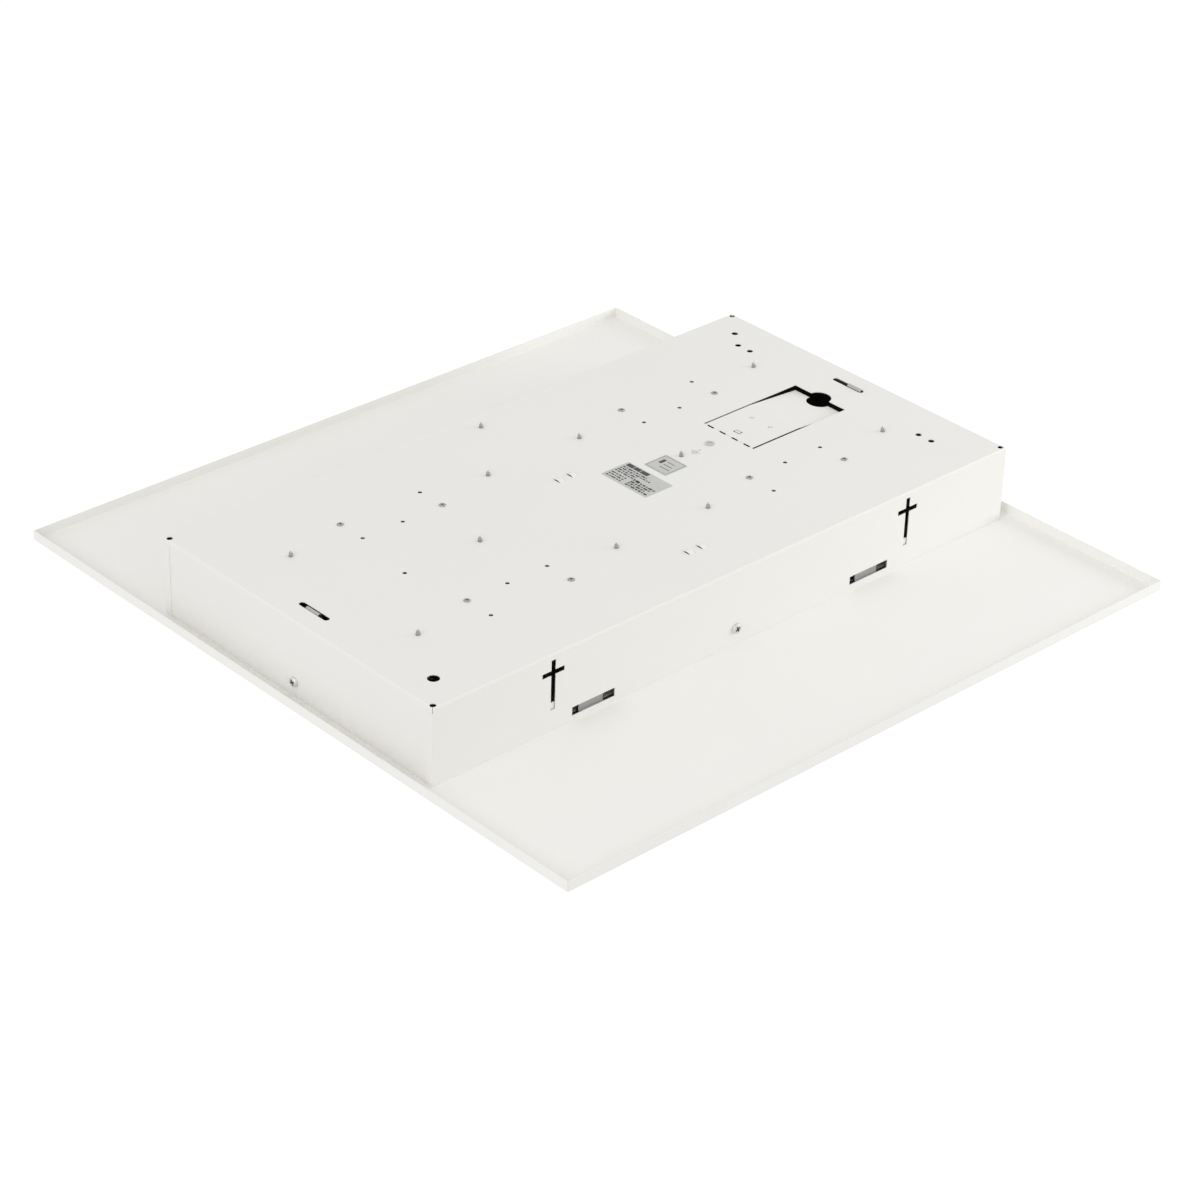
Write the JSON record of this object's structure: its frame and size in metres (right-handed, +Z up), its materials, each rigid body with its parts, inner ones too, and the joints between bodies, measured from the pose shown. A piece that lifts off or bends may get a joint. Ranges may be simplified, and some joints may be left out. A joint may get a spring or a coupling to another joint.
{
  "type": "recessed led ceiling light",
  "caption": "Recessed LED ceiling light: square white trim pan with a folded steel housing, bent-in cable flap with terminal block, LED boards, driver and opal optic.",
  "frame": {"origin": "middle of the trim pan's front face, which is the underside in use", "axes": "+Z up through the housing, +X along the housing towards the end with the cable flap, +Y across the housing away from the viewer"},
  "size_m": [0.597, 0.597, 0.0678],
  "materials": {
    "white_steel": "white powder coat",
    "screw_steel": "zinc plated",
    "spring_steel": "bright spring steel",
    "board_white": "white solder mask on aluminium",
    "led": "yellow phosphor",
    "pale_plastic": "moulded",
    "grey_plastic": "moulded",
    "driver_case": "satin",
    "film": "insulating film",
    "green_board": "solder mask",
    "ferrite": "ferrite core and winding",
    "capacitor": "sleeved",
    "brass": "plain",
    "opal": "opal acrylic"
  },
  "bodies": {
    "body": {"housing": "white_steel", "trim_pan": "white_steel", "housing_screws": "screw_steel", "gear_cover": "white_steel", "cover_lug_left": "spring_steel", "cover_lug_right": "spring_steel", "board_screws": "screw_steel", "board_rivets": "screw_steel", "board_connectors": "pale_plastic", "driver_base": "driver_case", "driver_lid": "driver_case", "driver_film": "film", "driver_board": "green_board", "driver_transformer": "ferrite", "driver_capacitors": "capacitor", "driver_connectors": "grey_plastic", "driver_screws": "screw_steel", "earth_stud": "screw_steel", "earth_washer": "brass", "earth_nut": "brass", "earth_tab": "brass", "earth_tab_screw": "screw_steel", "spring_clip_front_left": "spring_steel", "spring_clip_front_right": "spring_steel", "spring_clip_rear_left": "spring_steel", "spring_clip_rear_right": "spring_steel", "led_board_1": "board_white", "led_chips_1": "led", "led_board_2": "board_white", "led_chips_2": "led", "led_board_3": "board_white", "led_chips_3": "led", "led_board_4": "board_white", "led_chips_4": "led"},
    "optic": {"optic_frame": "white_steel", "diffuser": "opal", "diffuser_clips": "spring_steel"},
    "flap": {"cable_flap": "white_steel", "terminal_block": "pale_plastic", "terminal_clamps": "brass"},
    "terminal_button_1": {"terminal_button_1": "grey_plastic"},
    "terminal_button_2": {"terminal_button_2": "grey_plastic"},
    "terminal_button_3": {"terminal_button_3": "grey_plastic"},
    "terminal_button_4": {"terminal_button_4": "grey_plastic"},
    "terminal_button_5": {"terminal_button_5": "grey_plastic"}
  },
  "joints": [
    {"name": "flap_hinge", "type": "hinge", "parent": "body", "child": "flap", "pos_m": [0.136, 0, 0.0634], "axis": [0, -1, 0], "range_deg": [-2, 95]},
    {"name": "optic_pull", "type": "slide", "parent": "body", "child": "optic", "axis": [0, 0, -1], "range_m": [0, 0.045]},
    {"name": "button_press_1", "type": "slide", "parent": "flap", "child": "terminal_button_1", "axis": [0, 0, 1], "range_m": [0, 0.0012], "stiffness_N_per_m": 1500, "springref_m": -0.002},
    {"name": "button_press_2", "type": "slide", "parent": "flap", "child": "terminal_button_2", "axis": [0, 0, 1], "range_m": [0, 0.0012], "stiffness_N_per_m": 1500, "springref_m": -0.002},
    {"name": "button_press_3", "type": "slide", "parent": "flap", "child": "terminal_button_3", "axis": [0, 0, 1], "range_m": [0, 0.0012], "stiffness_N_per_m": 1500, "springref_m": -0.002},
    {"name": "button_press_4", "type": "slide", "parent": "flap", "child": "terminal_button_4", "axis": [0, 0, 1], "range_m": [0, 0.0012], "stiffness_N_per_m": 1500, "springref_m": -0.002},
    {"name": "button_press_5", "type": "slide", "parent": "flap", "child": "terminal_button_5", "axis": [0, 0, 1], "range_m": [0, 0.0012], "stiffness_N_per_m": 1500, "springref_m": -0.002}
  ]
}
